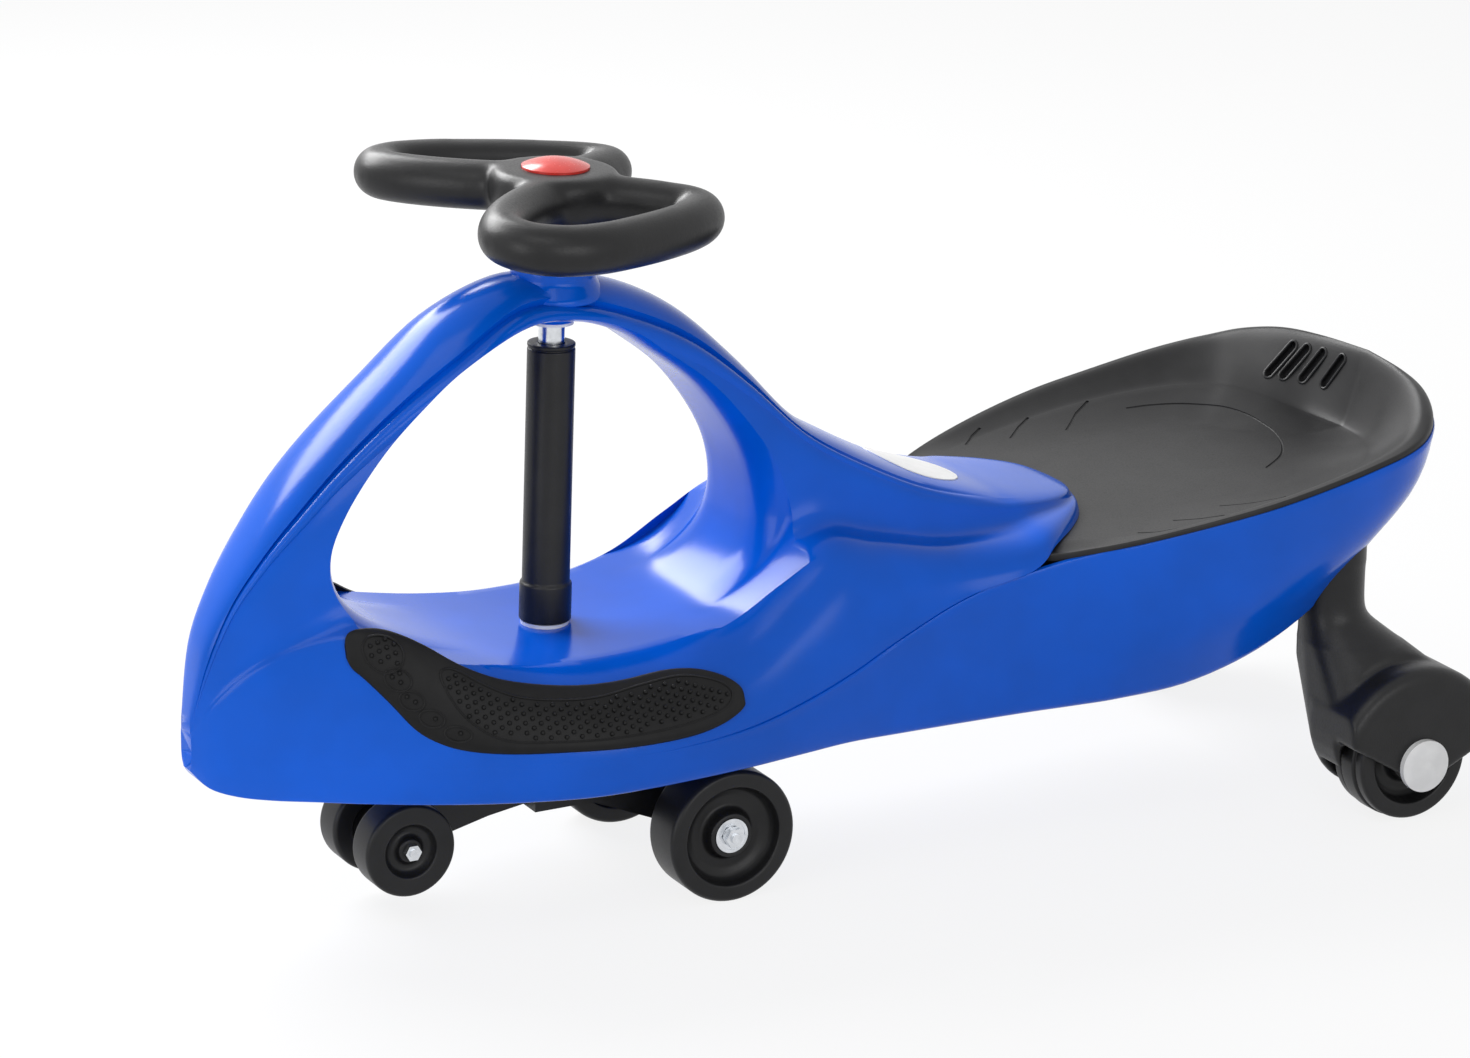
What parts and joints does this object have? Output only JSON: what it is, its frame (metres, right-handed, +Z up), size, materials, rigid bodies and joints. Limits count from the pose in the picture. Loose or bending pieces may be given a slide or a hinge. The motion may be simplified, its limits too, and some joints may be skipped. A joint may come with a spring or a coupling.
{
  "type": "wiggle car",
  "caption": "Child's ride-on wiggle car: moulded body with an open hoop, dished seat, looped steering wheel on a column that turns a wheeled front truck, and rear wheels under hooded legs.",
  "frame": {"origin": "on the ground, under the middle of the overall box", "axes": "+X forward, +Y to the rider's left, +Z up"},
  "size_m": [0.73, 0.315, 0.3965],
  "materials": {
    "blue_shell": "smooth moulded polypropylene, gloss",
    "seat_plastic": "grained moulded polypropylene, satin",
    "pad_rubber": "moulded anti-slip rubber with raised dots",
    "black_plastic": "finely grained moulded plastic",
    "wheel_plastic": "satin moulded plastic",
    "white_plastic": "smooth",
    "red_cap": "smooth gloss",
    "plug_steel": "turned",
    "steel": "bright zinc plate"
  },
  "bodies": {
    "body": {"upper_shell": "blue_shell", "lower_shell": "blue_shell", "seat_tray": "seat_plastic", "left_foot_pad": "pad_rubber", "right_foot_pad": "pad_rubber", "upper_bush": "white_plastic", "lower_bush": "white_plastic", "left_rear_leg": "black_plastic", "right_rear_leg": "black_plastic", "left_rear_axle": "steel", "right_rear_axle": "steel", "rear_axle_nuts": "steel", "rear_axle_caps": "white_plastic", "shell_screws": "steel", "seat_screws": "steel", "leg_screws": "steel"},
    "steering": {"steering_wheel": "black_plastic", "hub_cap": "red_cap", "steering_bolt": "steel", "tube_plug": "plug_steel", "steering_tube": "steel", "column_sleeve": "black_plastic", "foot_plug": "plug_steel", "bracket_bolt": "steel", "front_bracket": "black_plastic", "front_axle": "steel", "front_axle_nuts": "steel", "front_spacers": "steel", "nose_axle": "steel", "nose_axle_nuts": "steel", "nose_spacers": "steel"},
    "left_front": {"left_front_wheel": "wheel_plastic", "left_front_bearings": "steel"},
    "left_nose": {"left_nose_wheel": "wheel_plastic"},
    "left_rear": {"left_rear_wheel": "wheel_plastic", "left_rear_bearings": "steel"},
    "right_front": {"right_front_wheel": "wheel_plastic", "right_front_bearings": "steel"},
    "right_nose": {"right_nose_wheel": "wheel_plastic"},
    "right_rear": {"right_rear_wheel": "wheel_plastic", "right_rear_bearings": "steel"}
  },
  "joints": [
    {"name": "steering_turn", "type": "hinge", "parent": "body", "child": "steering", "pos_m": [0.164, 0, 0], "axis": [-0.0349, 0, 0.9994], "continuous": true},
    {"name": "left_front_roll", "type": "hinge", "parent": "steering", "child": "left_front", "pos_m": [0.0877, 0.0668, 0.0367], "axis": [0, 1, 0], "continuous": true},
    {"name": "left_nose_roll", "type": "hinge", "parent": "steering", "child": "left_nose", "pos_m": [0.2527, 0.0214, 0.0408], "axis": [0, 1, 0], "continuous": true},
    {"name": "left_rear_roll", "type": "hinge", "parent": "body", "child": "left_rear", "pos_m": [-0.303, 0.13, 0.035], "axis": [0, 1, 0], "continuous": true},
    {"name": "right_front_roll", "type": "hinge", "parent": "steering", "child": "right_front", "pos_m": [0.0877, -0.0668, 0.0367], "axis": [0, 1, 0], "continuous": true},
    {"name": "right_nose_roll", "type": "hinge", "parent": "steering", "child": "right_nose", "pos_m": [0.2527, -0.0214, 0.0408], "axis": [0, 1, 0], "continuous": true},
    {"name": "right_rear_roll", "type": "hinge", "parent": "body", "child": "right_rear", "pos_m": [-0.303, -0.13, 0.035], "axis": [0, 1, 0], "continuous": true}
  ]
}
